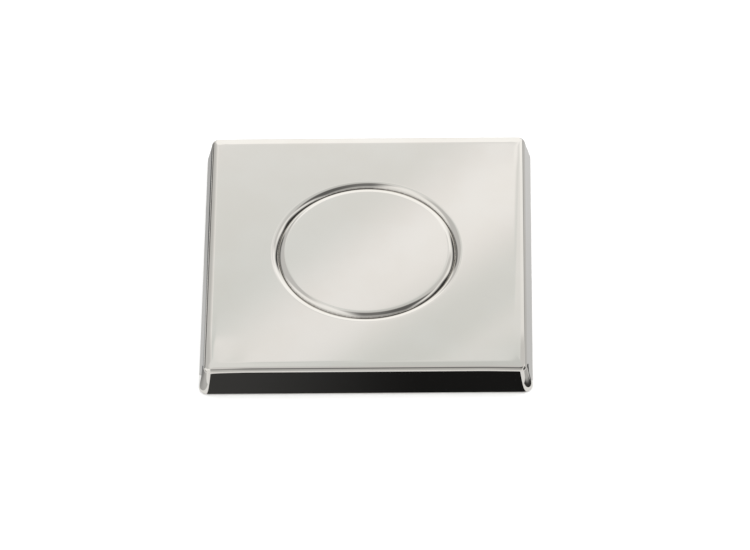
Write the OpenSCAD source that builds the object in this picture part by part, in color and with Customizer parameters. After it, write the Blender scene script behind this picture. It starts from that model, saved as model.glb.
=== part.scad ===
// Square hand blotter with a flush press disc.
// A polished cover sits over a flat pad. The pad carries a folded sheet of blotting paper and is
// held up against the chassis by magnets. Pressing the disc, set flush in the cover, pushes the
// pad off its magnets so that the paper can be changed.
// Origin: centre of the footprint, on the paper's face. +Z up, +X right, -Y front. Millimetres.

/* [Cover] */
// Width and depth of the cover at its rim
plate_w = 100; // [92:1:120]
// Height from the paper's face to the top of the cover
plate_h = 9.2; // [9.1:0.1:10.4]
// Gap below the cover's rim, so that the paper touches first
rim_gap = 0.4; // [0.3:0.05:0.6]
// Thickness of the cover's wall
wall = 1.3; // [1.2:0.1:1.3]
// Radius of the long edges between the top and the sides
edge_r = 1.35; // [1:0.05:1.6]
// Radius of the upright corners, in plan, at the rim
corner_r = 3; // [2.7:0.05:3.2]

/* [Press disc] */
// Diameter of the seam between the disc and the cover
ring_d = 53.8; // [50:0.2:56]
// Radius of the rolled lips on both sides of the seam
lip_r = 3.3; // [2.4:0.1:3.6]
// Depth at which the lips meet the seam
lip_depth = 0.9; // [0.6:0.1:1]
// Radial gap of the seam
seam_gap = 0.1; // [0.06:0.01:0.15]
// How far the disc can be pressed
press_travel = 1.2; // [0.8:0.1:1.2]
// Diameter of the ejector plate under the disc
ejector_d = 62; // [60:1:64]
// Distance of the push pins from both centre lines
pin_reach = 18; // [16:0.5:19]
// Diameter of the push pins
pin_d = 3; // [2.5:0.1:3.2]

/* [Chassis] */
// Thickness of the chassis plate
chassis_t = 1.2; // [1:0.1:1.2]
// Distance of the cover's posts from both centre lines
post_reach = 41; // [40.5:0.5:41.5]
// Diameter of the magnets
magnet_d = 10; // [8:0.5:10]
// Width of each ballast bar
ballast_w = 13; // [11:0.5:13.5]
// Length of each ballast bar
ballast_l = 68; // [60:1:72]

/* [Pad] */
// Thickness of the blotting paper
paper_t = 0.35; // [0.25:0.05:0.4]
// Width of the blotting paper
paper_w = 93.6; // [90:0.2:94]
// Length of each paper end folded over the pad carrier
paper_tail = 10; // [8:0.5:12]
// Thickness of the felt pad
felt_t = 1.5; // [1.2:0.1:1.5]
// Thickness of the pad carrier
carrier_t = 1.0; // [0.8:0.1:1]

/* [Hidden] */
$fn = 96;
eps = 0.01;

// Heights, from the paper's face upwards
felt_z = paper_t;
carrier_z = felt_z + felt_t;
carrier_top = carrier_z + carrier_t;
tail_top = carrier_top + paper_t;
grip_t = 0.25;
grip_gap = 0.05;
grip_z = tail_top + grip_gap;
chassis_z = grip_z + grip_t;
chassis_top = chassis_z + chassis_t;
ceiling_z = plate_h - wall;
stop_t = 0.3;
stop_gap = 0.1;
ejector_t = 1.0;
ejector_top = ceiling_z - stop_t - stop_gap;
ejector_z = ejector_top - ejector_t;

// Cover: the corner axes stand corner_r in from the rim, and the edge arc's centre edge_out
// further out, so that the top's own corners are rounded too
corner_at = plate_w / 2 - corner_r;
cover_low = rim_gap;
edge_out = 0.13;
edge_axis_z = plate_h - edge_r;
// The wall runs from the rim to where it is tangent to the edge arc; draft is its lean
wall_run = [corner_r - edge_out, edge_axis_z - cover_low];
draft = atan2(wall_run[0], wall_run[1]) - asin(edge_r / norm(wall_run));
// Cavity, whose wall leans as the cover's does; sizes in steps of 0.01 so that faces meet
function fine(x) = round(x * 100) / 100;
cavity_half = fine(plate_w / 2 - wall / cos(draft));
cavity_corner = 1.8;
cavity_lean = fine((ceiling_z - cover_low) * tan(draft));
edge_steps = 16;

// Disc and its opening
seam_r = ring_d / 2;
opening_r = seam_r + seam_gap / 2;
disc_r = seam_r - seam_gap / 2;
lip_run = sqrt(pow(lip_r, 2) - pow(lip_r - lip_depth, 2));
stop_margin = 0.5;
stop_inner_r = opening_r + stop_margin;
stop_outer_r = ejector_d / 2 - stop_margin;

// Push pins, bushes and springs, one of each at every corner of a square. A pressed disc
// brings the ejector plate down to press_rest above the bushes' flanges.
pin_r = pin_d / 2;
pin_gap = 0.05;
pin_tip = 0.3;
tenon_r = 1;
tenon_root = 0.2;
tenon_fit = 0.02;
bush_fit = 0.05;
bush_t = 0.8;
bush_r = pin_r + bush_t;
flange_r = bush_r + bush_t;
press_rest = 0.05;
flange_t = ejector_z - press_travel - chassis_top - press_rest;
wire_r = 0.22;
wire_gap = 0.03;
spring_gap = 1.1;
spring_low_r = flange_r + spring_gap;
spring_high_r = pin_r + spring_gap;
spring_turns = 3;
spring_steps = 16;
spring_sides = 6;

// Fasteners: M2.5 countersunk screws into the posts and the ballast, M2 into the disc.
// A hole goes hole_spare deeper than its screw.
thread_fit = 0.02;
clear_fit = 0.1;
hole_spare = 0.2;
screw_r = 1.2;
head_r = 2.3;
head_t = 1.0;
post_r = 3;
post_web = 0.5;
ballast_bite = 2.2;
small_screw_r = 0.95;
small_head_r = 1.75;
small_head_t = 0.7;
disc_bite = 1;
ejector_screw_at = 12;
relief_at = 18;
relief_r = 5;

// Chassis layout
chassis_gap = 0.95;
chassis_corner = 2;
chassis_w = 2 * (cavity_half - chassis_gap);
magnet_at = [36, 26];
magnet_gap = 0.1;
strip_l = 70;
strip_margin = 1.5;
ballast_gap = 1.5;
ballast_x = ejector_d / 2 + ballast_gap;
ballast_top = ceiling_z - stop_gap;
ballast_corner = 1.5;
ballast_screw_at = [38, 10];
dowel_at = 43;
dowel_r = 1.25;
dowel_root_r = 1;
dowel_clear = 0.2;
dowel_h = 1;
dowel_tip = 0.4;

// Pad outlines
pad_corner = 1.5;
pad_gap = 0.9;
carrier_edge = 0.6;
felt_inset = 0.2;
carrier_w = paper_w + 2 * carrier_edge;
carrier_l = 2 * (cavity_half - paper_t - pad_gap);
felt_w = carrier_w - 2 * felt_inset;

// Places a copy of its children at the four corners (+-x, +-y).
module four(x, y) {
    for (sx = [-1, 1], sy = [-1, 1]) translate([sx * x, sy * y, 0]) children();
}

// A square block with upright walls and round corners, centred on Z.
module rounded_plate(w, l, r, z, t) {
    translate([-w / 2 + r, -l / 2, z]) cube([w - 2 * r, l, t]);
    translate([-w / 2, -l / 2 + r, z]) cube([w, l - 2 * r, t]);
    four(w / 2 - r, l / 2 - r) translate([0, 0, z]) cylinder(h = t, r = r);
}

// Sweeps a half-section round a square: straight along the four sides, and turned about the
// four corner axes, which stand axis_at from both centre lines. The section spans z0 to z1 at
// its own axis, and so does the middle block.
module square_sweep(axis_at, z0, z1) {
    translate([-axis_at, -axis_at, z0]) cube([2 * axis_at, 2 * axis_at, z1 - z0]);
    for (turn = [0:90:270])
        rotate(turn) {
            translate([axis_at, axis_at, 0]) rotate_extrude(angle = 90) children();
            translate([axis_at, axis_at, 0]) rotate([90, 0, 0])
                linear_extrude(2 * axis_at) children();
        }
}

// Points of an arc about [x, z], from angle a0 to a1.
function arc(x, z, r, a0, a1, steps) =
    [for (i = [0:steps]) let (a = a0 + (a1 - a0) * i / steps) [x + r * cos(a), z + r * sin(a)]];

// The cover's outer half-section: a leaning wall below, a round edge rolled over the top.
module cover_section() {
    polygon(concat(
        [[0, cover_low], [corner_r, cover_low]],
        arc(edge_out, edge_axis_z, edge_r, draft, 90, edge_steps),
        [[0, plate_h]]
    ));
}

// The cavity's half-section, open below the rim.
module cavity_section() {
    polygon([
        [0, cover_low - 1], [cavity_corner + tan(draft), cover_low - 1],
        [cavity_corner - cavity_lean, ceiling_z], [0, ceiling_z]
    ]);
}

// The cut that leaves a rolled lip on the cover, all round the opening.
module lip_cut() {
    rotate_extrude()
        difference() {
            translate([opening_r - 1, plate_h - lip_depth])
                square([1 + lip_run, lip_depth + 1]);
            translate([opening_r + lip_run, plate_h - lip_r]) circle(lip_r);
        }
}

// Polished shell: top, four leaning sides and the opening for the disc.
module cover() {
    color("silver")
        difference() {
            square_sweep(corner_at, cover_low, plate_h) cover_section();
            square_sweep(cavity_half - cavity_corner, cover_low - 1, ceiling_z)
                cavity_section();
            translate([0, 0, ceiling_z - 1]) cylinder(h = wall + 2, r = opening_r);
            lip_cut();
        }
}

// Threaded posts soldered under the cover's top.
module cover_posts() {
    color("goldenrod")
        four(post_reach, post_reach)
            difference() {
                translate([0, 0, chassis_top])
                    cylinder(h = ceiling_z - chassis_top, r = post_r);
                translate([0, 0, chassis_top - 1])
                    cylinder(h = ceiling_z - post_web - chassis_top + 1, r = screw_r + thread_fit);
            }
}

// Rubber ring under the cover's top that stops the ejector plate quietly.
module stop_ring() {
    color("dimgray")
        translate([0, 0, ceiling_z - stop_t])
            difference() {
                cylinder(h = stop_t, r = stop_outer_r);
                translate([0, 0, -1]) cylinder(h = stop_t + 2, r = stop_inner_r);
            }
}

// Cone and hole of a countersunk screw whose head is at z, opening downwards.
module countersink(z, r, head, depth, through) {
    translate([0, 0, z - eps]) cylinder(h = depth + eps, r1 = head, r2 = r);
    translate([0, 0, z - eps]) cylinder(h = through + 2 * eps, r = r);
}

// Steel plate that closes the cover and carries the bushes and magnets.
module chassis_plate() {
    color("lightsteelblue")
        difference() {
            rounded_plate(chassis_w, chassis_w, chassis_corner, chassis_z, chassis_t);
            for (at = [[post_reach, post_reach], ballast_screw_at])
                four(at[0], at[1])
                    countersink(chassis_z, screw_r + clear_fit, head_r + clear_fit, head_t,
                        chassis_t);
            four(pin_reach, pin_reach)
                translate([0, 0, chassis_z - 1]) cylinder(h = chassis_t + 2, r = bush_r);
            four(magnet_at[0], magnet_at[1])
                translate([0, 0, chassis_z - 1])
                    cylinder(h = chassis_t + 2, r = magnet_d / 2 + tenon_fit);
            for (side = [-1, 1])
                translate([side * dowel_at, 0, chassis_z - 1])
                    cylinder(h = chassis_t + 2, r = dowel_r + dowel_clear);
        }
}

// A countersunk screw, head downwards at z, reaching up to z + length.
module screw(z, r, head, depth, length) {
    translate([0, 0, z]) cylinder(h = depth, r1 = head, r2 = r);
    translate([0, 0, z]) cylinder(h = length, r = r);
}

// Screws that hold the chassis to the cover's posts.
module chassis_screws() {
    color("gainsboro")
        four(post_reach, post_reach)
            screw(chassis_z, screw_r, head_r, head_t,
                ceiling_z - post_web - hole_spare - chassis_z);
}

// Flanged bushes pressed into the chassis; the push pins run in them.
module guide_bushes() {
    color("darkgoldenrod")
        four(pin_reach, pin_reach)
            difference() {
                union() {
                    translate([0, 0, chassis_z]) cylinder(h = chassis_t, r = bush_r - tenon_fit);
                    translate([0, 0, chassis_top]) cylinder(h = flange_t, r = flange_r);
                }
                translate([0, 0, chassis_z - 1])
                    cylinder(h = chassis_t + flange_t + 2, r = pin_r + bush_fit);
            }
}

// Disc magnets seated in the chassis, just clear of the pad carrier.
module magnets() {
    color("slategray")
        four(magnet_at[0], magnet_at[1])
            translate([0, 0, carrier_top + magnet_gap])
                cylinder(h = chassis_top - carrier_top - magnet_gap, r = magnet_d / 2);
}

// Rubber strips under the chassis that grip the folded paper ends.
module grip_strips() {
    strip_w = paper_tail - 2 * strip_margin;
    strip_y = (carrier_l - paper_tail) / 2;
    color("dimgray")
        for (side = [-1, 1])
            translate([-strip_l / 2, side * strip_y - strip_w / 2, grip_z])
                cube([strip_l, strip_w, grip_t]);
}

// One ballast bar, on the side given by side = -1 or 1.
module ballast_bar(side) {
    color("darkslategray")
        difference() {
            translate([side * (ballast_x + ballast_w / 2), 0, 0])
                rounded_plate(ballast_w, ballast_l, ballast_corner, chassis_top,
                    ballast_top - chassis_top);
            for (end = [-1, 1])
                translate([side * ballast_screw_at[0], end * ballast_screw_at[1], chassis_top - 1])
                    cylinder(h = ballast_bite + hole_spare + 1, r = screw_r + thread_fit);
        }
}

module ballast_left() {
    ballast_bar(-1);
}

module ballast_right() {
    ballast_bar(1);
}

// Screws that hold the ballast bars to the chassis.
module ballast_screws() {
    color("gainsboro")
        four(ballast_screw_at[0], ballast_screw_at[1])
            screw(chassis_z, screw_r, head_r, head_t, chassis_t + ballast_bite);
}

// Height of a spring's wire centre at a part t (0 to 1) of its length, closed at both ends.
function wire_z(t) =
    let (low = chassis_top + wire_r + wire_gap, high = ejector_z - wire_r - wire_gap)
    low + (high - low) * (t - sin(360 * t) / (2 * PI));

// Ring k of a conical spring's tube: the wire's section, turned to face along the coil.
function wire_ring(k, count) =
    let (
        t = k / count,
        turn = 360 * spring_turns * t,
        r = spring_low_r + (spring_high_r - spring_low_r) * t
    )
    [for (s = [0:spring_sides - 1])
        let (a = 360 * s / spring_sides, out = r + wire_r * cos(a))
        [out * cos(turn), out * sin(turn), wire_z(t) + wire_r * sin(a)]];

// A conical spring, wide end down, standing on the chassis round its bush.
module conical_spring() {
    count = spring_turns * spring_steps;
    n = spring_sides;
    last = count * n;
    polyhedron(
        points = [for (k = [0:count]) each wire_ring(k, count)],
        faces = concat(
            [[for (s = [0:n - 1]) s]],
            [for (k = [0:count - 1], s = [0:n - 1])
                [k * n + s, (k + 1) * n + s, (k + 1) * n + (s + 1) % n, k * n + (s + 1) % n]],
            [[for (s = [0:n - 1]) last + n - 1 - s]]
        )
    );
}

// Springs that lift the disc back to flush.
module return_springs() {
    color("silver")
        four(pin_reach, pin_reach) conical_spring();
}

// Polished disc, flush with the cover's top, its edge rolled to match the cover's lip.
module press_disc() {
    disc_t = plate_h - ejector_top;
    color("silver")
        difference() {
            translate([0, 0, ejector_top])
                rotate_extrude()
                    union() {
                        square([disc_r - lip_run, disc_t]);
                        square([disc_r, disc_t - lip_depth]);
                        intersection() {
                            translate([disc_r - lip_run, disc_t - lip_r]) circle(lip_r);
                            translate([0, disc_t - lip_depth - eps])
                                square([disc_r, lip_depth + eps]);
                        }
                    }
            four(ejector_screw_at, ejector_screw_at)
                translate([0, 0, ejector_top - 1])
                    cylinder(h = disc_bite + hole_spare + 1, r = small_screw_r + thread_fit);
        }
}

// Steel plate under the disc: it carries the push pins and stops under the cover.
module ejector_plate() {
    color("lightsteelblue")
        difference() {
            translate([0, 0, ejector_z]) cylinder(h = ejector_t, d = ejector_d);
            four(ejector_screw_at, ejector_screw_at)
                countersink(ejector_z, small_screw_r + clear_fit, small_head_r + clear_fit,
                    small_head_t, ejector_t);
            four(pin_reach, pin_reach)
                translate([0, 0, ejector_z - 1])
                    cylinder(h = ejector_t + 2, r = tenon_r + tenon_fit);
            for (turn = [0:90:270])
                rotate(turn) translate([relief_at, 0, ejector_z - 1])
                    cylinder(h = ejector_t + 2, r = relief_r);
        }
}

// Screws that hold the disc to the ejector plate.
module ejector_screws() {
    color("gainsboro")
        four(ejector_screw_at, ejector_screw_at)
            screw(ejector_z, small_screw_r, small_head_r, small_head_t, ejector_t + disc_bite);
}

// Push pins, staked into the ejector plate, that reach down to the pad carrier.
module push_pins() {
    pin_low = carrier_top + pin_gap;
    color("gainsboro")
        four(pin_reach, pin_reach) {
            translate([0, 0, pin_low]) cylinder(h = pin_tip, r1 = pin_r - pin_tip, r2 = pin_r);
            translate([0, 0, pin_low + pin_tip])
                cylinder(h = ejector_z - pin_low - pin_tip, r = pin_r);
            translate([0, 0, ejector_z - tenon_root])
                cylinder(h = ejector_t + tenon_root, r = tenon_r);
        }
}

// Steel plate that the paper is folded round and the magnets hold.
module pad_carrier() {
    color("lightsteelblue")
        difference() {
            rounded_plate(carrier_w, carrier_l, pad_corner, carrier_z, carrier_t);
            for (side = [-1, 1])
                translate([side * dowel_at, 0, carrier_z - 1])
                    cylinder(h = carrier_t + 2, r = dowel_root_r + tenon_fit);
        }
}

// Dowels that centre the pad carrier in the chassis.
module carrier_dowels() {
    color("gainsboro")
        for (side = [-1, 1])
            translate([side * dowel_at, 0, 0]) {
                translate([0, 0, carrier_z]) cylinder(h = carrier_t, r = dowel_root_r);
                translate([0, 0, carrier_top]) cylinder(h = dowel_h, r = dowel_r);
                translate([0, 0, carrier_top + dowel_h])
                    cylinder(h = dowel_tip, r1 = dowel_r, r2 = dowel_r - dowel_tip);
            }
}

// Felt glued under the pad carrier.
module felt_pad() {
    color("darkgreen") rounded_plate(felt_w, carrier_l, pad_corner, felt_z, felt_t);
}

// Sheet of blotting paper under the felt, its two ends folded up and over the pad carrier.
module blotting_paper() {
    outer_l = carrier_l + 2 * paper_t;
    color("ivory") {
        translate([-paper_w / 2, -outer_l / 2, 0]) cube([paper_w, outer_l, paper_t]);
        for (turn = [0, 180])
            rotate(turn) {
                translate([-paper_w / 2, carrier_l / 2, 0]) cube([paper_w, paper_t, tail_top]);
                translate([-paper_w / 2, outer_l / 2 - paper_tail, carrier_top])
                    cube([paper_w, paper_tail, paper_t]);
            }
    }
}

cover();
cover_posts();
stop_ring();
chassis_plate();
chassis_screws();
guide_bushes();
magnets();
grip_strips();
ballast_left();
ballast_right();
ballast_screws();
return_springs();
press_disc();
ejector_plate();
ejector_screws();
push_pins();
pad_carrier();
carrier_dowels();
felt_pad();
blotting_paper();
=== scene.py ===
"""Hand blotter: a polished slab with a round press disc, over a felt and paper pad."""
import math

import bmesh
import bpy
import numpy as np
from mathutils import Matrix, Vector


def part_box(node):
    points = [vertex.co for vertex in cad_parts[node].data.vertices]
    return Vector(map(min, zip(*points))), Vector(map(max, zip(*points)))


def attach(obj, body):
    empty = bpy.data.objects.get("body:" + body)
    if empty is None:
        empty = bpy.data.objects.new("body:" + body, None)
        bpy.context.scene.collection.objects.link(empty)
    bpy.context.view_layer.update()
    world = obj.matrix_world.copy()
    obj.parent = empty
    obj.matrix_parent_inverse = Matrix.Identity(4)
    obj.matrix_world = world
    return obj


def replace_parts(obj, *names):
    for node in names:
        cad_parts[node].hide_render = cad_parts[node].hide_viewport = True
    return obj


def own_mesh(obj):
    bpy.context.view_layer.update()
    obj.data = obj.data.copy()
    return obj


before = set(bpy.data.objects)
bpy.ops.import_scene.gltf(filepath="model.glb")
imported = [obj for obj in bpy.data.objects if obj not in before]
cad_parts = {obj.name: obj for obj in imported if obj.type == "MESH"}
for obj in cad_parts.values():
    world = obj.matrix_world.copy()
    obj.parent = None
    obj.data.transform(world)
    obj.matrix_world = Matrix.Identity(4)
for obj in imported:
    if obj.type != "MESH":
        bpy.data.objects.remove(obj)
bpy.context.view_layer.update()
MM = 0.001


# ---------------------------------------------------------------- places taken from the CAD parts

def span(node):
    """A CAD node's lowest and highest corner, in millimetres."""
    low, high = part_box(node)
    return [v / MM for v in low], [v / MM for v in high]


COVER_LOW, COVER_HIGH = span("cover")
DISC_LOW, DISC_HIGH = span("press_disc")
FELT_LOW, FELT_HIGH = span("felt_pad")
PAPER_LOW, PAPER_HIGH = span("blotting_paper")

TOP = COVER_HIGH[2]
RIM_HALF = COVER_HIGH[0]
RIM_Z = COVER_LOW[2]
CEILING = span("stop_ring")[1][2]          # the underside of the cover's top
DISC_R = DISC_HIGH[0]
OPENING_R = DISC_R + 0.1
CHASSIS_TOP = span("chassis_plate")[1][2]
EJECTOR_Z = span("ejector_plate")[0][2]

# Sizes that the CAD uses too.
LIP_R = 3.3                                # the rolled lips on both sides of the seam
LIP_DEPTH = 0.9
WALL = 1.3
EDGE_R = 1.35                              # the long edges' rounding
CORNER_R = 3.0                             # the corners' rounding, at the rim
PIN_REACH = 18.0
POST_REACH = 41.0
BALLAST_SCREWS = (38.0, 10.0)
EJECTOR_SCREWS = 12.0

# A screw's radius, head radius, head height, thread pitch and key width.
M25_SCREW = (1.2, 2.3, 1.0, 0.45, 1.5)
M2_SCREW = (0.95, 1.75, 0.7, 0.4, 1.3)


# ---------------------------------------------------------------- node materials

class Nodes:
    """A short hand for building one node tree."""

    def __init__(self, tree):
        self.tree = tree
        tree.nodes.clear()

    def add(self, kind, **settings):
        node = self.tree.nodes.new(kind)
        for name, value in settings.items():
            setattr(node, name, value)
        return node

    def set(self, socket, value):
        if isinstance(value, bpy.types.NodeSocket):
            self.tree.links.new(value, socket)
        else:
            socket.default_value = value

    def math(self, operation, a, b=0.0, c=0.0):
        node = self.add("ShaderNodeMath", operation=operation)
        for socket, value in zip(node.inputs, (a, b, c)):
            self.set(socket, value)
        return node.outputs[0]

    def smooth(self, value, low, high, to_low=0.0, to_high=1.0, kind="SMOOTHSTEP"):
        """Carries value from low..high to to_low..to_high, and holds it there beyond."""
        node = self.add("ShaderNodeMapRange", interpolation_type=kind)
        for name, v in (("Value", value), ("From Min", low), ("From Max", high),
                        ("To Min", to_low), ("To Max", to_high)):
            self.set(node.inputs[name], v)
        return node.outputs["Result"]

    def linear(self, value, low, high, to_low, to_high):
        return self.smooth(value, low, high, to_low, to_high, "LINEAR")

    def mix(self, factor, a, b, kind="RGBA"):
        node = self.add("ShaderNodeMix", data_type=kind)
        self.set(node.inputs["Factor"], factor)
        self.set(node.inputs["A"], a)
        self.set(node.inputs["B"], b)
        return node.outputs["Result"]

    def place(self, output="Object"):
        """The X, Y and Z of the object's own coordinates in metres, or of that output."""
        return self.split(self.add("ShaderNodeTexCoord").outputs[output])

    def split(self, vector):
        node = self.add("ShaderNodeSeparateXYZ")
        self.tree.links.new(vector, node.inputs[0])
        return [node.outputs[k] for k in "XYZ"]

    def coords(self, scale=(1.0, 1.0, 1.0), turn=0.0):
        """Object coordinates in millimetres, scaled and turned about Z."""
        at = self.add("ShaderNodeTexCoord")
        mapping = self.add("ShaderNodeMapping")
        self.tree.links.new(at.outputs["Object"], mapping.inputs["Vector"])
        mapping.inputs["Scale"].default_value = [s / MM for s in scale]
        mapping.inputs["Rotation"].default_value = (0.0, 0.0, turn)
        return mapping.outputs["Vector"]

    def noise(self, vector, scale, detail=4.0, rough=0.55, distortion=0.0):
        node = self.add("ShaderNodeTexNoise")
        self.tree.links.new(vector, node.inputs["Vector"])
        node.inputs["Scale"].default_value = scale
        node.inputs["Detail"].default_value = detail
        node.inputs["Roughness"].default_value = rough
        node.inputs["Distortion"].default_value = distortion
        return node.outputs["Fac"]

    def voronoi(self, vector, scale):
        node = self.add("ShaderNodeTexVoronoi")
        self.tree.links.new(vector, node.inputs["Vector"])
        node.inputs["Scale"].default_value = scale
        return node.outputs["Distance"]

    def bump(self, height, distance):
        """A bump of that height in metres."""
        node = self.add("ShaderNodeBump")
        self.set(node.inputs["Height"], height)
        node.inputs["Distance"].default_value = distance
        node.inputs["Strength"].default_value = 1.0
        return node.outputs["Normal"]


def rgb(r, g, b):
    return (r, g, b, 1.0)


def material(name):
    """A new material with an empty tree: (material, nodes, shader)."""
    mat = bpy.data.materials.new(name)
    mat.use_nodes = True
    nodes = Nodes(mat.node_tree)
    shader = nodes.add("ShaderNodeBsdfPrincipled")
    out = nodes.add("ShaderNodeOutputMaterial")
    nodes.set(out.inputs["Surface"], shader.outputs["BSDF"])
    return mat, nodes, shader


def near_seam(n, reach):
    """1 beside the seam round the disc, fading to 0 at that many millimetres from it."""
    x, y, _ = n.split(n.coords())
    r = n.math("SQRT", n.math("MULTIPLY_ADD", x, x, n.math("MULTIPLY", y, y)))
    return n.smooth(n.math("ABSOLUTE", n.math("SUBTRACT", r, DISC_R)), reach, 0.2 * reach)


def polished_metal(name, light, dark, rough, haze, hairline, hairline_turn):
    """Buffed metal: a faint clouding, soft wipe marks and hairlines along one direction,
    and a dark band in the seam round the disc, partly old polish residue and partly painted shade."""
    mat, n, s = material(name)
    cloud = n.noise(n.coords(), 0.045, 3.0)
    wipe = n.noise(n.coords((1.0, 0.25, 1.0), hairline_turn), 0.22, 5.0, 0.6, 0.8)
    hair = n.noise(n.coords((1.0, 0.012, 1.0), hairline_turn), 9.0, 3.0, 0.7)
    metal = n.mix(n.smooth(cloud, 0.35, 0.65), light, dark)
    # painted shade: within 0.55 mm of the seam round the disc the base colour darkens to brown
    # grey, partly old polish residue, partly the groove's shade
    seam_residue_and_shade = n.smooth(n.noise(n.coords(), 1.1, 3.0), 0.3, 0.7, 0.40, 0.70)
    seam_residue_and_shade = n.math("MULTIPLY", seam_residue_and_shade, near_seam(n, 0.55))
    n.set(s.inputs["Base Color"], n.mix(seam_residue_and_shade, metal, rgb(0.22, 0.20, 0.18)))
    s.inputs["Metallic"].default_value = 1.0
    marks = n.math("MULTIPLY", n.smooth(wipe, 0.48, 0.78), haze)
    fine = n.math("MULTIPLY", n.smooth(hair, 0.60, 0.80), haze * 0.6)
    n.set(s.inputs["Roughness"], n.math("ADD", n.math("ADD", marks, fine), rough))
    n.set(s.inputs["Normal"], n.bump(hair, hairline))
    return mat


def satin_metal(name, light, dark, rough, grain_turn=0.0, grain=2.0e-6):
    """Rolled or turned metal with a fine directional grain and slightly uneven tone."""
    mat, n, s = material(name)
    grain_n = n.noise(n.coords((1.0, 0.04, 1.0), grain_turn), 5.0, 4.0, 0.65)
    cloud = n.noise(n.coords(), 0.12, 4.0)
    tone = n.math("MULTIPLY_ADD", grain_n, 0.55, n.math("MULTIPLY", cloud, 0.45))
    n.set(s.inputs["Base Color"], n.mix(n.smooth(tone, 0.32, 0.68), dark, light))
    s.inputs["Metallic"].default_value = 1.0
    n.set(s.inputs["Roughness"], n.linear(tone, 0.3, 0.7, rough - 0.06, rough + 0.08))
    n.set(s.inputs["Normal"], n.bump(grain_n, grain))
    return mat


def zinc_plate(name):
    """Zinc-plated sheet steel: pale spangle, bluish tint and fine rolling lines."""
    mat, n, s = material(name)
    spangle = n.voronoi(n.coords(), 0.35)
    lines = n.noise(n.coords((1.0, 0.03, 1.0), math.radians(90)), 4.0, 3.0, 0.6)
    tone = n.math("MULTIPLY_ADD", spangle, 0.45, n.math("MULTIPLY", lines, 0.5))
    n.set(s.inputs["Base Color"],
          n.mix(n.smooth(tone, 0.2, 0.75), rgb(0.46, 0.48, 0.50), rgb(0.62, 0.63, 0.62)))
    s.inputs["Metallic"].default_value = 1.0
    n.set(s.inputs["Roughness"], n.linear(tone, 0.2, 0.8, 0.26, 0.42))
    n.set(s.inputs["Normal"], n.bump(lines, 3.0e-6))
    return mat


def cast_metal(name):
    """Cast zinc ballast: pitted, dull grey, a little darker in the hollows."""
    mat, n, s = material(name)
    lumps = n.noise(n.coords(), 0.9, 6.0, 0.7)
    pits = n.smooth(n.voronoi(n.coords(), 1.6), 0.05, 0.3)
    tone = n.math("MULTIPLY_ADD", lumps, 0.7, n.math("MULTIPLY", pits, 0.3))
    n.set(s.inputs["Base Color"],
          n.mix(n.smooth(tone, 0.35, 0.8), rgb(0.17, 0.17, 0.175), rgb(0.34, 0.34, 0.345)))
    s.inputs["Metallic"].default_value = 0.85
    n.set(s.inputs["Roughness"], n.linear(lumps, 0.3, 0.7, 0.48, 0.66))
    n.set(s.inputs["Normal"], n.bump(tone, 4.0e-5))
    return mat


def rubber(name):
    """Matt black rubber with a fine moulded grain and a touch of dust."""
    mat, n, s = material(name)
    grain_n = n.noise(n.coords(), 5.0, 4.0, 0.6)
    dust = n.noise(n.coords(), 0.3, 5.0, 0.65)
    n.set(s.inputs["Base Color"],
          n.mix(n.smooth(dust, 0.45, 0.8), rgb(0.018, 0.018, 0.019), rgb(0.05, 0.048, 0.045)))
    n.set(s.inputs["Roughness"], n.linear(grain_n, 0.3, 0.7, 0.62, 0.8))
    n.set(s.inputs["Normal"], n.bump(grain_n, 2.0e-5))
    return mat


def felt(name):
    """Pressed wool felt: matted fibres in two directions, soft sheen, uneven dye."""
    mat, n, s = material(name)
    fibre_a = n.noise(n.coords((1.0, 0.2, 1.0), math.radians(35)), 4.5, 6.0, 0.7, 1.5)
    fibre_b = n.noise(n.coords((1.0, 0.2, 1.0), math.radians(-50)), 5.5, 6.0, 0.7, 1.5)
    dye = n.noise(n.coords(), 0.15, 3.0)
    fibres = n.math("MAXIMUM", fibre_a, fibre_b)
    tone = n.math("MULTIPLY_ADD", fibres, 0.8, n.math("MULTIPLY", dye, 0.2))
    n.set(s.inputs["Base Color"],
          n.mix(n.smooth(tone, 0.4, 0.72), rgb(0.010, 0.045, 0.026), rgb(0.035, 0.115, 0.066)))
    s.inputs["Roughness"].default_value = 0.95
    s.inputs["Specular IOR Level"].default_value = 0.15
    s.inputs["Sheen Weight"].default_value = 0.5
    s.inputs["Sheen Roughness"].default_value = 0.6
    s.inputs["Sheen Tint"].default_value = rgb(0.45, 0.75, 0.55)
    n.set(s.inputs["Normal"], n.bump(fibres, 1.2e-4))
    return mat


def paper(name):
    """Blotting paper: soft white, cloudy pulp, loose fibres and a slight tooth."""
    mat, n, s = material(name)
    pulp = n.noise(n.coords(), 0.5, 6.0, 0.65)
    fibres = n.noise(n.coords((1.0, 0.12, 1.0), math.radians(20)), 3.0, 5.0, 0.7, 2.0)
    across = n.noise(n.coords((0.12, 1.0, 1.0), math.radians(-15)), 3.0, 5.0, 0.7, 2.0)
    tooth = n.math("MAXIMUM", fibres, across)
    flecks = n.smooth(n.voronoi(n.coords(), 0.28), 0.0, 0.05, 1.0, 0.0)
    clean = n.mix(n.smooth(pulp, 0.35, 0.7), rgb(0.80, 0.77, 0.68), rgb(0.88, 0.86, 0.79))
    n.set(s.inputs["Base Color"],
          n.mix(n.math("MULTIPLY", flecks, 0.35), clean, rgb(0.52, 0.45, 0.34)))
    s.inputs["Roughness"].default_value = 0.92
    s.inputs["Specular IOR Level"].default_value = 0.2
    s.inputs["Sheen Weight"].default_value = 0.15
    n.set(s.inputs["Normal"], n.bump(tooth, 5.0e-5))
    return mat


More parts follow.
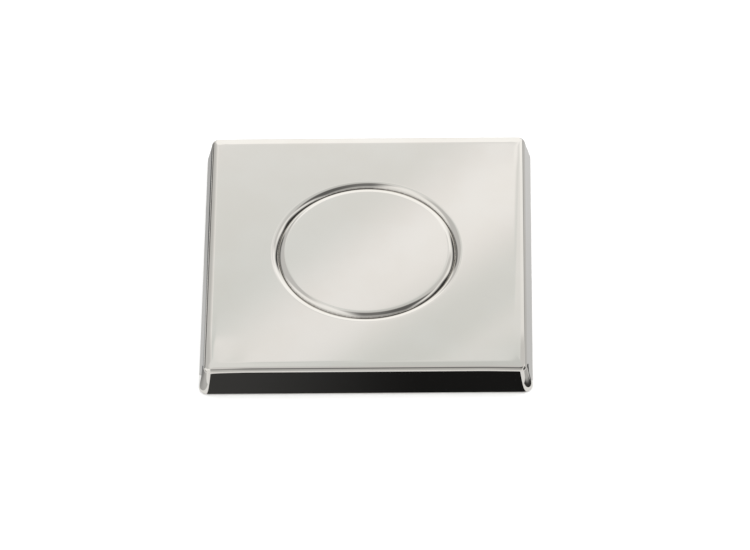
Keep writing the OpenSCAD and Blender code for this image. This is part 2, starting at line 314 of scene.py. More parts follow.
NICKEL = polished_metal("polished_nickel", rgb(0.815, 0.795, 0.755), rgb(0.80, 0.775, 0.73),
                        0.022, 0.03, 4.0e-8, math.radians(24))
NICKEL_DISC = polished_metal("polished_nickel_disc", rgb(0.82, 0.80, 0.76),
                             rgb(0.805, 0.78, 0.735), 0.02, 0.03, 4.0e-8, math.radians(-38))
BRASS = satin_metal("turned_brass", rgb(0.80, 0.60, 0.28), rgb(0.62, 0.44, 0.18), 0.28)
ZINC = zinc_plate("zinc_steel")
SCREW = satin_metal("screw_steel", rgb(0.66, 0.66, 0.65), rgb(0.50, 0.50, 0.49), 0.26)
PIN = satin_metal("ground_pin_steel", rgb(0.70, 0.70, 0.70), rgb(0.56, 0.56, 0.57), 0.16,
                  math.radians(90), 8.0e-7)
MAGNET = satin_metal("magnet_nickel", rgb(0.64, 0.63, 0.60), rgb(0.50, 0.49, 0.47), 0.2)
SPRING = satin_metal("spring_wire", rgb(0.58, 0.57, 0.56), rgb(0.40, 0.39, 0.38), 0.3,
                     math.radians(45), 1.0e-6)
CAST = cast_metal("cast_ballast")
RUBBER = rubber("black_rubber")
FELT = felt("pressed_felt")
PAPER = paper("blotting_paper")


# ---------------------------------------------------------------- mesh helpers

def finish_mesh(name, verts, faces, mat, sharp=math.radians(38)):
    """Makes an object from millimetre points; edges sharper than that angle stay crisp."""
    mesh = bpy.data.meshes.new(name)
    mesh.from_pydata([tuple(v * MM for v in p) for p in verts], [], faces)
    bm = bmesh.new()
    bm.from_mesh(mesh)
    bmesh.ops.recalc_face_normals(bm, faces=bm.faces)
    bm.to_mesh(mesh)
    bm.free()
    mesh.shade_smooth()
    mesh.set_sharp_from_angle(angle=sharp)
    mesh.materials.append(mat)
    obj = bpy.data.objects.new(name, mesh)
    bpy.context.scene.collection.objects.link(obj)
    return obj


SIDE_STEPS = 24
CORNER_STEPS = 24
RING = 4 * (2 * SIDE_STEPS + CORNER_STEPS)


def square_ring(half, corner):
    """RING points round a square with round corners, from the middle of the +X side."""
    c = half - corner
    points = []
    for quarter in range(4):
        cos, sin = ((1, 0), (0, 1), (-1, 0), (0, -1))[quarter]
        local = [(half, c * k / SIDE_STEPS) for k in range(SIDE_STEPS)]
        for k in range(CORNER_STEPS):
            a = math.pi / 2 * k / CORNER_STEPS
            local.append((c + corner * math.cos(a), c + corner * math.sin(a)))
        local += [(c * (1 - k / SIDE_STEPS), half) for k in range(SIDE_STEPS)]
        points += [(x * cos - y * sin, x * sin + y * cos) for x, y in local]
    return np.array(points)


def circle_ring(r, count=RING):
    a = 2 * math.pi * np.arange(count) / count
    return np.stack([r * np.cos(a), r * np.sin(a)], axis=1)


def stack_rings(rings, closed):
    """Quads between successive rings of the same count; closed joins last to first."""
    count = len(rings[0][0])
    verts = [(x, y, z) for ring, z in rings for x, y in ring]
    faces = []
    pairs = len(rings) if closed else len(rings) - 1
    for j in range(pairs):
        a, b = j * count, ((j + 1) % len(rings)) * count
        faces += [(a + i, a + (i + 1) % count, b + (i + 1) % count, b + i)
                  for i in range(count)]
    return verts, faces


def lathe(profile, count):
    """Turns a profile of (radius, z), from axis to axis, about Z into a closed solid."""
    verts = [(0.0, 0.0, profile[0][1])]
    rows = [p for p in profile if p[0] > 1e-9]
    for r, z in rows:
        verts += [(x, y, z) for x, y in circle_ring(r, count)]
    last = len(verts)
    verts.append((0.0, 0.0, profile[-1][1]))
    faces = [(0, 1 + (i + 1) % count, 1 + i) for i in range(count)]
    for j in range(len(rows) - 1):
        a, b = 1 + j * count, 1 + (j + 1) * count
        faces += [(a + i, a + (i + 1) % count, b + (i + 1) % count, b + i)
                  for i in range(count)]
    end = 1 + (len(rows) - 1) * count
    faces += [(last, end + i, end + (i + 1) % count) for i in range(count)]
    return verts, faces


def merge(parts):
    """Joins several (verts, faces) into one."""
    verts, faces = [], []
    for v, f in parts:
        base = len(verts)
        verts += list(v)
        faces += [tuple(i + base for i in face) for face in f]
    return verts, faces


# ---------------------------------------------------------------- cover and disc

CORNER_AXIS = RIM_HALF - CORNER_R  # the corners turn about this, from the rim upward
CORNER_LEAST = 0.13   # down to this radius
CORNER_GROW = 0.9     # and inward of there they grow again, by this share of the way
EDGE_AXIS = CORNER_AXIS + 0.05     # the middle of the long edges' rounding
CORNER_EASE = 1.0     # how much softer a corner is at the top than at the rim
FLAT_CORNER = 3.3     # the flats' outermost corners, above and below
CAVITY_CORNER = 1.8
RIM_ROUND = 0.1
INNER_ROUND = 0.5     # between the walls and the underside of the top
CROWN = 2.6           # width of the soft roll-off beside each edge
CROWN_DROP = 0.192
CROWN_POWER = 2.3
SAG = (0.40, 0.12)    # how far polishing has lowered the top's front and back corners
SAG_FROM = 34.0       # where that begins
LEAD = 1.2            # width of the soft roll-off beside the lip
LEAD_DROP = 0.03


def lip_profile(steps=24):
    """Run outward from the seam and drop below the top, from seam to flat."""
    run = math.sqrt(LIP_R ** 2 - (LIP_R - LIP_DEPTH) ** 2)
    start = math.asin(run / LIP_R)
    out = []
    for k in range(steps + 1):
        a = start * (1 - k / steps)
        out.append((run - LIP_R * math.sin(a), LIP_R * (1 - math.cos(a))))
    for k in range(1, 13):
        out.append((run + LEAD * k / 12, 0.0))
    soft = []
    for x, drop in out:
        t = min(1.0, x / (run + LEAD))
        soft.append((x, drop * (1 - LEAD_DROP / LIP_DEPTH) + LEAD_DROP * (1 - t) ** 3))
    return soft


def edge_profile(steps=30):
    """(half, z) from the start of the roll-off, over the edge and down the leaning wall."""
    tilt = math.atan(CROWN_POWER * CROWN_DROP / CROWN)
    cx = EDGE_AXIS
    cz = TOP - CROWN_DROP - EDGE_R * math.cos(tilt)
    flat = cx + EDGE_R * math.sin(tilt)
    points = []
    for k in range(21):
        t = k / 20
        points.append((flat - CROWN * (1 - t), TOP - CROWN_DROP * t ** CROWN_POWER))
    foot = (RIM_HALF, RIM_Z + RIM_ROUND)
    end = math.radians(81)
    for _ in range(6):
        x, z = cx + EDGE_R * math.sin(end), cz + EDGE_R * math.cos(end)
        end = math.atan2(z - foot[1], foot[0] - x)
    for k in range(1, steps + 1):
        a = tilt + (end - tilt) * k / steps
        points.append((cx + EDGE_R * math.sin(a), cz + EDGE_R * math.cos(a)))
    x, z = points[-1]
    points += [(x + (foot[0] - x) * w, z + (foot[1] - z) * w)
               for w in (0.01, 0.15, 0.3, 0.45, 0.6, 0.75, 0.9, 0.99, 1.0)]
    return points


def corner_sag(x, y):
    """The drop of the top's corners at that place."""
    drop = SAG[0] if y < 0 else SAG[1]
    for v in (x, y):
        t = min(1.0, max(0.0, (abs(v) - SAG_FROM) / (RIM_HALF - SAG_FROM)))
        drop *= t * t * (3 - 2 * t)
    return drop


def build_cover():
    """The shell as one loop of rings: lip, top, edge, wall, rim, cavity and opening."""
    rings = [(circle_ring(OPENING_R), CEILING), (circle_ring(OPENING_R), CEILING + 0.25)]
    lip = lip_profile()
    rings += [(circle_ring(OPENING_R + x), TOP - drop) for x, drop in lip]
    edge = edge_profile()
    inner, outer = OPENING_R + lip[-1][0], edge[0][0]
    steps = 24
    for k in range(1, steps):
        w = k / steps
        half = inner + (outer - inner) * w
        blend = w * w * (3 - 2 * w)
        ring = (1 - blend) * circle_ring(half) + blend * square_ring(half, FLAT_CORNER)
        rings.append((ring, TOP))
    turn_in = CORNER_AXIS + CORNER_LEAST
    for half, z in edge:
        inward = CORNER_LEAST + CORNER_GROW * (turn_in - half)
        corner = half - CORNER_AXIS if half > turn_in else inward
        rings.append((square_ring(half, corner + CORNER_EASE * (z - RIM_Z) / (TOP - RIM_Z)), z))
    outside = len(rings) * RING
    for k in range(1, 6):
        a = math.pi / 2 * k / 5
        rings.append((square_ring(RIM_HALF - RIM_ROUND * (1 - math.cos(a)), CORNER_R),
                      RIM_Z + RIM_ROUND * (1 - math.sin(a))))
    lean = (edge[-1][0] - edge[-9][0]) / (edge[-9][1] - edge[-1][1])
    cavity = RIM_HALF - WALL * math.hypot(1.0, lean)
    rings.append((square_ring(cavity + RIM_ROUND, CAVITY_CORNER + RIM_ROUND), RIM_Z))
    low = RIM_Z + RIM_ROUND
    height = CEILING - INNER_ROUND - low
    for k in range(7):
        inset = lean * height * k / 6
        rings.append((square_ring(cavity - inset, CAVITY_CORNER), low + height * k / 6))
    wall_in = cavity - lean * height
    for k in range(1, 6):
        a = math.pi / 2 * k / 5
        rings.append((square_ring(wall_in - INNER_ROUND * (1 - math.cos(a)), 1.6),
                      CEILING - INNER_ROUND * (1 - math.sin(a))))
    start = wall_in - INNER_ROUND
    for k in range(1, 8):
        w = k / 8
        half = start + (OPENING_R - start) * w
        blend = 1 - w * w * (3 - 2 * w)
        ring = (1 - blend) * circle_ring(half) + blend * square_ring(half, FLAT_CORNER)
        rings.append((ring, CEILING))
    verts, faces = stack_rings(rings, True)
    verts[:outside] = [(x, y, z - corner_sag(x, y) * (z - RIM_Z) / (TOP - RIM_Z))
                       for x, y, z in verts[:outside]]
    obj = finish_mesh("cover_shell", verts, faces, NICKEL)
    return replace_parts(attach(obj, "housing"), "cover")


def build_disc():
    """The disc: its lip mirrors the cover's, and its top is very slightly domed."""
    lip = lip_profile()
    low = DISC_LOW[2]
    flat = DISC_R - lip[-1][0]
    dome = 0.02
    profile = [(0.0, low), (DISC_R - 0.15, low), (DISC_R, low + 0.15), (DISC_R, low + 0.5)]
    profile += [(DISC_R - x, TOP - drop) for x, drop in lip]
    profile += [(flat * (1 - k / 10), TOP) for k in range(1, 10)]
    profile = [(r, z - dome * (r / DISC_R) ** 2 if z > low + 0.6 else z) for r, z in profile]
    profile.append((0.0, TOP))
    obj = finish_mesh("press_disc_polished", *lathe(profile, RING), NICKEL_DISC)
    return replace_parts(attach(obj, "plunger"), "press_disc")


def hex_ring(across, count, centre):
    """count points round a hexagon of that width across its flats."""
    out = []
    for k in range(count):
        a = 2 * math.pi * k / count
        near = (a + math.pi / 6) % (math.pi / 3) - math.pi / 6
        r = across / 2 / math.cos(near)
        out.append((centre[0] + r * math.cos(a), centre[1] + r * math.sin(a)))
    return np.array(out)


def screw(centre, z, top, r, head, head_t, pitch, key):
    """A countersunk screw pointing up from z to top, with a hexagonal key hole below."""
    count = 48
    middle = np.array(centre)

    def disc_ring(radius):
        return middle + circle_ring(radius, count)

    rings = [(hex_ring(key, count, centre), z + 0.55 * head_t),
             (hex_ring(key, count, centre), z + 0.06),
             (hex_ring(key + 0.1, count, centre), z),
             (disc_ring(head - 0.14), z), (disc_ring(head - 0.08), z + 0.02),
             (disc_ring(head - 0.07), z + 0.05), (disc_ring(r * 0.98), z + head_t)]
    root = r * 0.86
    start, end = z + head_t + 0.1, top - 0.2
    turns = round((end - start) / pitch)
    for k in range(turns):
        level = start + (end - start) * k / turns
        rings += [(disc_ring(root), level), (disc_ring(root), level + 0.2 * pitch),
                  (disc_ring(r), level + 0.45 * pitch), (disc_ring(r), level + 0.6 * pitch)]
    rings += [(disc_ring(root), end), (disc_ring(root - 0.15), top)]
    verts, faces = stack_rings(rings, False)
    base, last = len(verts), (len(rings) - 1) * count
    verts += [(centre[0], centre[1], z + 0.55 * head_t), (centre[0], centre[1], top)]
    faces += [(base, (i + 1) % count, i) for i in range(count)]
    faces += [(base + 1, last + i, last + (i + 1) % count) for i in range(count)]
    return verts, faces


def corners(x, y):
    """The four places at those distances from the middle."""
    return [(sx * x, sy * y) for sx in (-1, 1) for sy in (-1, 1)]


def build_screws(name, node, body, at, size):
    low, high = span(node)
    parts = [screw(c, low[2], high[2], *size) for c in corners(*at)]
    obj = finish_mesh(name, *merge(parts), SCREW, math.radians(25))
    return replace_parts(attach(obj, body), node)


def tube(path, r, sides=12):
    """A round wire along a path of points that goes round the Z axis, with domed ends."""
    path = np.array(path, float)
    ahead = np.gradient(path, axis=0)
    ahead /= np.linalg.norm(ahead, axis=1)[:, None]
    out = path * (1, 1, 0)
    side = out - (out * ahead).sum(axis=1)[:, None] * ahead
    side /= np.linalg.norm(side, axis=1)[:, None]
    over = np.cross(ahead, side)
    rows = [(path[0] - ahead[0] * r * 0.8, 0, 0.45), (path[0] - ahead[0] * r * 0.4, 0, 0.85)]
    rows += [(p, k, 1.0) for k, p in enumerate(path)]
    rows += [(path[-1] + ahead[-1] * r * 0.4, -1, 0.85), (path[-1] + ahead[-1] * r * 0.8, -1, 0.45)]
    verts, faces = [], []
    for p, k, share in rows:
        for i in range(sides):
            a = 2 * math.pi * i / sides
            verts.append(tuple(p + r * share * (math.cos(a) * side[k] + math.sin(a) * over[k])))
    for j in range(len(rows) - 1):
        a, b = j * sides, (j + 1) * sides
        faces += [(a + i, a + (i + 1) % sides, b + (i + 1) % sides, b + i) for i in range(sides)]
    faces.append(tuple(range(sides))[::-1])
    end = (len(rows) - 1) * sides
    faces.append(tuple(end + i for i in range(sides)))
    return verts, faces


def build_springs():
    """Four conical springs, wound between the chassis and the ejector plate."""
    wire, gap, turns, steps = 0.22, 0.03, 3, 40
    wide, narrow = 4.2, 2.6
    low, high = CHASSIS_TOP + wire + gap, EJECTOR_Z - wire - gap
    parts = []
    for cx, cy in corners(PIN_REACH, PIN_REACH):
        path = []
        for k in range(turns * steps + 1):
            t = k / (turns * steps)
            r = wide + (narrow - wide) * t
            a = 2 * math.pi * turns * t
            z = low + (high - low) * (t - math.sin(2 * math.pi * t) / (2 * math.pi))
            path.append((r * math.cos(a), r * math.sin(a), z))
        verts, faces = tube(path, wire)
        parts.append(([(x + cx, y + cy, z) for x, y, z in verts], faces))
    obj = finish_mesh("conical_springs_wound", *merge(parts), SPRING, math.radians(60))
    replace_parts(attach(obj, "housing"), "return_springs")
    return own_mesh(obj)


def plate_ring(half_x, half_y, corner, count=24, side=30):
    """Points round a rectangle with round corners."""
    points = []
    cx, cy = half_x - corner, half_y - corner
    for quarter in range(4):
        sx, sy = ((1, 1), (-1, 1), (-1, -1), (1, -1))[quarter]
        start = quarter * math.pi / 2
        for k in range(count + 1):
            a = start + math.pi / 2 * k / count
            points.append((sx * cx + corner * math.cos(a), sy * cy + corner * math.sin(a)))
        nx, ny = ((-1, 1), (-1, -1), (1, -1), (1, 1))[quarter]
        x0, y0 = points[-1]
        x1 = nx * cx + corner * math.cos(start + math.pi / 2)
        y1 = ny * cy + corner * math.sin(start + math.pi / 2)
        points += [(x0 + (x1 - x0) * k / side, y0 + (y1 - y0) * k / side)
                   for k in range(1, side)]
    return np.array(points)


def build_felt():
    """The felt: a soft-edged slab, a little uneven where it was cut."""
    low, high = FELT_LOW[2], FELT_HIGH[2]
    half_x, half_y = FELT_HIGH[0], FELT_HIGH[1]
    r = 0.42
    rows = []
    for inset in (40.0, 30.0, 20.0, 10.0, 4.0, 1.5):
        rows.append((inset, low))
    for k in range(7):
        a = math.pi / 2 * k / 6
        rows.append((r * (1 - math.sin(a)), low + r * (1 - math.cos(a))))
    rows.append((0.05, (low + high) / 2))
    for k in range(7):
        a = math.pi / 2 * (1 - k / 6)
        rows.append((r * (1 - math.sin(a)), high - r * (1 - math.cos(a))))
    for inset in (1.5, 4.0, 10.0, 20.0, 30.0, 40.0):
        rows.append((inset, high))
    rings = []
    for inset, z in rows:
        ring = plate_ring(half_x - inset, half_y - inset, max(0.6, 1.5 - inset * 0.3))
        if inset < 1.0:
            k = np.arange(len(ring))
            wave = (np.sin(k * 0.9) + np.sin(k * 2.3 + 1.1) + np.sin(k * 4.1 + z * 3)) / 3
            ring = ring * (1 - (0.07 * (0.5 + 0.5 * wave) / 47)[:, None])
        rings.append((ring, z))
    verts, faces = stack_rings(rings, False)
    count = len(rings[0][0])
    verts += [(0, 0, low), (0, 0, high)]
    base, end = len(verts) - 2, (len(rings) - 1) * count
    faces += [(base, (i + 1) % count, i) for i in range(count)]
    faces += [(base + 1, end + i, end + (i + 1) % count) for i in range(count)]
    obj = finish_mesh("felt_cushion", verts, faces, FELT, math.radians(80))
    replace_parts(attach(obj, "pad"), "felt_pad")
    return obj


def build_paper():
    """One sheet of blotting paper, folded round the felt and over the carrier at both ends."""
    low, top = PAPER_LOW[2], PAPER_HIGH[2]
    half_x, half_y = PAPER_HIGH[0], PAPER_HIGH[1]
    thick = FELT_LOW[2] - low
    tail = 10.0
    ripple = 0.014               # how much the tails lift towards their ends
    soft, crisp = 0.45, 0.26     # bends of the middle line over the felt, and over the steel
    middle = []                  # the middle line, from the front tail to the back: (y, z)
    y0, z0, z1 = half_y - thick / 2, low + thick / 2, top - thick / 2
    tail_y = half_y - tail

    def bend(r, cy, cz, a0, steps=8):
        angles = [a0 + math.pi / 2 * k / steps for k in range(steps + 1)]
        return [(cy + r * math.cos(a), cz + r * math.sin(a)) for a in angles]

    for k in range(12):
        middle.append((-tail_y + (-y0 + crisp + tail_y) * k / 12, z1))
    middle += bend(crisp, -y0 + crisp, z1 - crisp, math.pi / 2)
    middle += bend(soft, -y0 + soft, z0 + soft, math.pi)
    for k in range(1, 24):
        middle.append((-y0 + soft + 2 * (y0 - soft) * k / 24, z0))
    middle += bend(soft, y0 - soft, z0 + soft, 1.5 * math.pi)
    middle += bend(crisp, y0 - crisp, z1 - crisp, 0.0)
    for k in range(1, 13):
        middle.append((y0 - crisp - (y0 - crisp - tail_y) * k / 12, z1))
    line = np.array(middle)
    ahead = np.gradient(line, axis=0)
    ahead /= np.linalg.norm(ahead, axis=1)[:, None]
    normal = np.stack([ahead[:, 1], -ahead[:, 0]], axis=1)
    length = float(np.linalg.norm(np.diff(line, axis=0), axis=1).sum())
    columns = 48
    verts, faces = [], []
    rows = len(line)
    for side in (0.5, -0.5):
        for j in range(rows):
            for i in range(columns + 1):
                x = -half_x + 2 * half_x * i / columns
                y, z = line[j] + normal[j] * thick * side
                if line[j][1] > z1 - 1e-6:
                    lift = ripple * (y0 - abs(line[j][0])) / tail
                    z += lift * (1 + math.sin(x * 0.21 + y * 0.5))
                verts.append((x, y, z))
    size = rows * (columns + 1)
    wide = columns + 1
    for j in range(rows - 1):
        for i in range(columns):
            a = j * wide + i
            faces.append((a, a + 1, a + wide + 1, a + wide))
            faces.append((size + a, size + a + wide, size + a + wide + 1, size + a + 1))
    for j in range(rows - 1):
        for i in (0, columns):
            a = j * wide + i
            faces.append((a, a + wide, size + a + wide, size + a))
    for i in range(columns):
        for j in (0, rows - 1):
            a = j * wide + i
            faces.append((a, a + 1, size + a + 1, size + a))
    obj = finish_mesh("blotting_sheet", verts, faces, PAPER, math.radians(50))
    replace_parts(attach(obj, "pad"), "blotting_paper")
    return obj, (2 * half_x * MM, length * MM)


build_cover()
build_disc()
build_screws("chassis_screws_cut", "chassis_screws", "housing", (POST_REACH, POST_REACH), M25_SCREW)
build_screws("ballast_screws_cut", "ballast_screws", "housing", BALLAST_SCREWS, M25_SCREW)
build_screws("ejector_screws_cut", "ejector_screws", "plunger",
             (EJECTOR_SCREWS, EJECTOR_SCREWS), M2_SCREW)
build_springs()
felt_piece = build_felt()
sheet, sheet_flat = build_paper()


# ---------------------------------------------------------------- CAD nodes that stay

def dress(node, mat, width):
    """Gives a CAD node its material, and breaks its sharp edges by a small bevel."""
    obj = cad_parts[node]
    obj.data.materials.clear()
    obj.data.materials.append(mat)
    weld = obj.modifiers.new("weld", "WELD")
    weld.merge_threshold = 1.0e-6
    bevel = obj.modifiers.new("bevel", "BEVEL")
    bevel.width = width * MM
    bevel.segments = 2
    bevel.limit_method = "ANGLE"
    bevel.angle_limit = math.radians(50)
    bevel.harden_normals = True


for node, mat, width in (
        ("chassis_plate", ZINC, 0.08), ("ejector_plate", ZINC, 0.08), ("pad_carrier", ZINC, 0.08),
        ("cover_posts", BRASS, 0.1), ("guide_bushes", BRASS, 0.06), ("magnets", MAGNET, 0.12),
        ("stop_ring", RUBBER, 0.06), ("grip_strips", RUBBER, 0.06),
        ("ballast_left", CAST, 0.25), ("ballast_right", CAST, 0.25),
        ("push_pins", PIN, 0.05), ("carrier_dowels", PIN, 0.06)):
    dress(node, mat, width)


# ---------------------------------------------------------------- camera

# The view, fitted to the object's outline: it looks down from a long way off.
ELEVATION = math.radians(47.07)
AZIMUTH = math.radians(2.02)
ROLL = math.radians(-1.91)
DISTANCE = 1.777
LENS = 280.9
AIM_RIGHT = 0.002517       # how far right of the top's middle the camera aims
AIM_DOWN = 0.007379        # and how far below it


def build_camera():
    """Aims past the middle of the top, which so stands a little left of and above centre."""
    top = Vector((0.0, 0.0, TOP * MM))
    back = Vector((math.sin(AZIMUTH) * math.cos(ELEVATION),
                   -math.cos(AZIMUTH) * math.cos(ELEVATION), math.sin(ELEVATION)))
    level = Vector((math.cos(AZIMUTH), math.sin(AZIMUTH), 0.0))
    right = Matrix.Rotation(ROLL, 3, back) @ level
    up = back.cross(right)
    eye = top + DISTANCE * back
    back = (eye - (top + AIM_RIGHT * right - AIM_DOWN * up)).normalized()
    right = up.cross(back).normalized()
    up = back.cross(right)
    data = bpy.data.cameras.new("camera")
    data.lens = LENS
    data.sensor_width = 36.0
    data.clip_start = 0.05
    data.clip_end = 50.0
    camera = bpy.data.objects.new("camera", data)
    bpy.context.scene.collection.objects.link(camera)
    turn = Matrix((right, up, back)).transposed().to_4x4()
    camera.matrix_world = Matrix.Translation(eye) @ turn
    bpy.context.scene.camera = camera


build_camera()


# ---------------------------------------------------------------- studio

def plane(name, centre, right, up, x0, x1, y0, y1):
    """A rectangle facing right x up, from x0 to x1 along right and y0 to y1 along up."""
    verts = [(x0, y0, 0), (x1, y0, 0), (x1, y1, 0), (x0, y1, 0)]
    mesh = bpy.data.meshes.new(name)
    mesh.from_pydata(verts, [], [(0, 1, 2, 3)])
    obj = bpy.data.objects.new(name, mesh)
    bpy.context.scene.collection.objects.link(obj)
    right, up = Vector(right).normalized(), Vector(up).normalized()
    turn = Matrix((right, up, right.cross(up))).transposed().to_4x4()
    obj.matrix_world = Matrix.Translation(Vector(centre)) @ turn
    return obj


def reflection_only(obj):
    """Hides an object from everything but reflections."""
    obj.visible_camera = False
    obj.visible_diffuse = False
    obj.visible_shadow = False
    obj.visible_transmission = False
    obj.visible_volume_scatter = False


def emitter(name):
    """A new glowing material: (material, nodes, emission node)."""
    mat = bpy.data.materials.new(name)
    mat.use_nodes = True
    nodes = Nodes(mat.node_tree)
    glow = nodes.add("ShaderNodeEmission")
    out = nodes.add("ShaderNodeOutputMaterial")
    nodes.set(out.inputs["Surface"], glow.outputs[0])
    return mat, nodes, glow


def build_floor():
    floor = plane("floor", (0, 0, 0), (1, 0, 0), (0, 1, 0), -15.0, 15.0, -15.0, 15.0)
    mat, n, s = material("floor")
    cloud = n.noise(n.coords(), 0.004, 2.0)
    n.set(s.inputs["Base Color"], n.mix(cloud, rgb(0.90, 0.90, 0.90), rgb(0.93, 0.93, 0.93)))
    s.inputs["Roughness"].default_value = 1.0
    s.inputs["Specular IOR Level"].default_value = 0.0
    floor.data.materials.append(mat)


BOX_AWAY = 0.60             # from the middle of the top to the soft box
BOX_SIDE = 0.15             # its half width, and its reach below and above that line
BOX_BELOW = 0.085
BOX_ABOVE = 0.218
BOX_TONE = 0.6386           # what the top shows of it, before the bands are added
PLATE_REFLECTANCE = 0.79


def soft_box_tone(n, x, y):
    """The tone the top shows at its point x, y, in millimetres: one broad diagonal band,
    with a fainter trough beside it. The upper part of the box, which only the front edge
    shows, is a dimmer grey that lightens to the left."""
    over = n.math("SUBTRACT", y, n.math("MULTIPLY", x, 0.985))
    tone = n.math("ADD", n.smooth(over, 35.5, -2.9, 0.0, 0.137), BOX_TONE)
    tone = n.math("ADD", tone, n.smooth(over, -10.9, -42.1, 0.0, -0.127))
    tone = n.math("ADD", tone, n.smooth(over, -49.3, -63.8, 0.0, 0.053))
    tone = n.math("MULTIPLY_ADD", y, 0.00096, tone)
    upper = n.smooth(y, -70.0, -110.0)
    upper_tone = n.smooth(x, -60.0, 10.0, 0.66, 0.53)
    return n.math("MULTIPLY_ADD", n.math("SUBTRACT", upper_tone, tone), upper, tone)


def build_soft_box():
    """The soft box behind the object, which its top reflects towards the camera."""
    away = Vector((0.0, math.cos(ELEVATION), math.sin(ELEVATION)))
    up = Vector((0.0, -math.sin(ELEVATION), math.cos(ELEVATION)))
    box = plane("soft_box", Vector((0, 0, TOP * MM)) + BOX_AWAY * away, (1, 0, 0), up,
                -BOX_SIDE, BOX_SIDE, -BOX_BELOW, BOX_ABOVE)
    reflection_only(box)
    mat, n, glow = emitter("soft_box")
    x, y, _ = n.place()
    grow = 1 + BOX_AWAY / DISTANCE
    x = n.math("DIVIDE", x, grow * MM)
    y = n.math("DIVIDE", y, -math.sin(ELEVATION) * grow * MM)
    tone = soft_box_tone(n, x, y)
    warm = n.smooth(tone, 0.58, 0.76)
    n.set(glow.inputs["Color"], n.mix(warm, rgb(0.975, 1.0, 0.985), rgb(1.0, 0.99, 0.985)))
    n.set(glow.inputs["Strength"], n.math("DIVIDE", tone, PLATE_REFLECTANCE))
    box.data.materials.append(mat)


FALL_FROM, FALL_TO = 130.0, 600.0      # where a card's glow starts and stops falling off


def build_card(name, x0, x1, y0, y1, axis, at, glow_at, z=0.2, far=1.0):
    """A card lying by the object, seen only in its polished walls. Its glow runs from
    glow_at[0] to glow_at[1] as the coordinate on that axis runs from at[0] to at[1],
    and falls to far times that at a distance."""
    card = plane(name, (0.0, 0.0, z * MM), (1, 0, 0), (0, 1, 0),
                 x0 * MM, x1 * MM, y0 * MM, y1 * MM)
    reflection_only(card)
    mat, n, glow = emitter(name)
    x, y, _ = n.place()
    near = n.smooth(x if axis == "X" else y, at[0] * MM, at[1] * MM, *glow_at)
    away = n.math("SQRT", n.math("MULTIPLY_ADD", x, x, n.math("MULTIPLY", y, y)))
    fall = n.smooth(away, FALL_FROM * MM, FALL_TO * MM, 1.0, far)
    n.set(glow.inputs["Strength"], n.math("MULTIPLY", near, fall))
    card.data.materials.append(mat)


def build_standing_card(name, x, y0, y1, top, at, glow_at):
    """A low upright card beside the object, that only its nearest edge can see. Its glow
    runs from glow_at[0] to glow_at[1] as Y runs from at[0] to at[1]."""
    card = plane(name, (x * MM, 0.0, 0.0), (0, 1, 0), (0, 0, 1), y0 * MM, y1 * MM, 0.0, top * MM)
    reflection_only(card)
    mat, n, glow = emitter(name)
    along = n.place()[0]
    n.set(glow.inputs["Strength"], n.smooth(along, at[0] * MM, at[1] * MM, *glow_at))
    card.data.materials.append(mat)


def build_sky_light():
    """A very soft overhead light for the floor, kept out of the reflections."""
    data = bpy.data.lights.new("overhead", "SUN")
    data.energy = 2.6
    data.angle = math.radians(80)
    light = bpy.data.objects.new("overhead", data)
    light.visible_glossy = False
    light.rotation_euler = (math.radians(-12), math.radians(8), 0.0)
    bpy.context.scene.collection.objects.link(light)


build_soft_box()
build_floor()
build_sky_light()
build_card("table_card", -900.0, 900.0, -900.0, 900.0, "Y", (-200.0, 50.0), (0.80, 0.88), 0.1, 0.5)
build_card("black_card", -47.9, 48.6, -120.0, -50.25, "X", (-50.0, 20.0), (0.045, 0.010))
build_card("left_card", -74.0, -51.15, -42.0, 90.0, "Y", (-20.0, 25.0), (0.42, 0.10))
build_card("left_foot_card", -51.15, -50.0, -42.0, 90.0, "Y", (-20.0, 25.0), (0.55, 0.45))
build_standing_card("right_edge_card", 54.0, -46.0, 95.0, 12.4, (-40.0, 40.0), (0.55, 0.60))
build_card("left_corner_card", -70.0, -50.9, -58.0, -38.0, "Y", (-54.0, -40.0), (0.50, 0.22), 0.3)
build_card("right_corner_card", 51.5, 70.0, -57.0, -38.0, "X", (53.5, 59.0), (0.04, 0.45), 0.3)
build_card("right_card", 50.0, 80.0, -45.0, 90.0, "Y", (-30.0, 60.0), (0.58, 0.66))


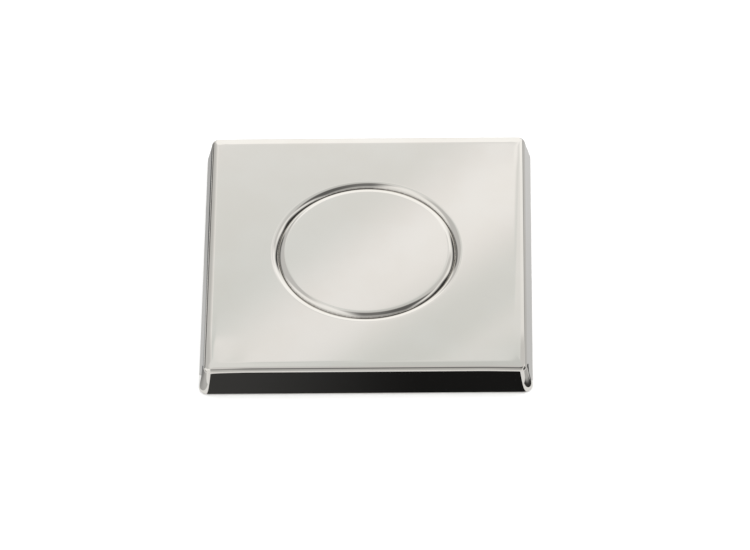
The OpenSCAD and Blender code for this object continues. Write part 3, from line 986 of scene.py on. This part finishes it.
def build_world():
    """A white room with a dark ceiling and a few dark patches, as a product table has."""
    world = bpy.data.worlds.new("studio")
    bpy.context.scene.world = world
    world.use_nodes = True
    n = Nodes(world.node_tree)
    back = n.add("ShaderNodeBackground")
    out = n.add("ShaderNodeOutputWorld")
    n.set(out.inputs["Surface"], back.outputs[0])
    x, y, z = n.place("Generated")
    side = n.math("DEGREES", n.math("ARCTAN2", x, y))
    rise = n.math("DEGREES", n.math("ARCSINE", z))

    def window(value, a, b, c, d):
        """0 below a, 1 from b to c, 0 above d, softly."""
        return n.math("MULTIPLY", n.smooth(value, a, b), n.smooth(value, d, c))

    def patch(tone, value, across, up):
        """Takes the tone to that value in a window of degrees round and degrees up."""
        mask = n.math("MULTIPLY", window(side, *across), window(rise, *up))
        return n.mix(mask, tone, value, "FLOAT")

    tone = n.smooth(y, 0.0, -0.3, 1.0, 0.85)
    tone = patch(tone, 1.13, (-28, -18, 18, 28), (-5, 2, 40, 46))       # low, behind
    tone = patch(tone, 0.60, (-75, -60, -22, -12), (12, 20, 58, 70))    # left wing
    tone = patch(tone, 0.10, (-75, -60, -36, -28), (-10, -2, 15, 28))   # left horizon
    tone = patch(tone, 0.07, (26, 36, 120, 135), (-10, -2, 20, 36))     # right horizon
    tone = patch(tone, 0.07, (58, 72, 112, 125), (-10, -2, 34, 52))     # right, in front
    tone = patch(tone, 0.35, (-125, -112, -85, -70), (-8, -2, 12, 26))  # left, in front
    # the ceiling: grey, with a dark strip overhead that deepens to the right
    overhead = n.math("MULTIPLY", window(x, -0.24, -0.04, 0.45, 0.62), n.smooth(z, 0.2, 0.5))
    grey = n.math("MULTIPLY", window(y, -0.97, -0.80, 0.62, 0.70), overhead)
    dark = n.math("MULTIPLY", window(y, -0.46, -0.20, 0.16, 0.34), overhead)
    tone = n.mix(grey, tone, n.smooth(y, -0.15, -0.45, 0.66, 0.52), "FLOAT")
    tone = n.mix(dark, tone, n.smooth(x, 0.05, 0.25, 0.19, 0.13), "FLOAT")
    n.set(back.inputs["Strength"], tone)
    back.inputs["Color"].default_value = rgb(1.0, 0.995, 0.985)


build_world()
bpy.context.scene.view_settings.view_transform = "Standard"
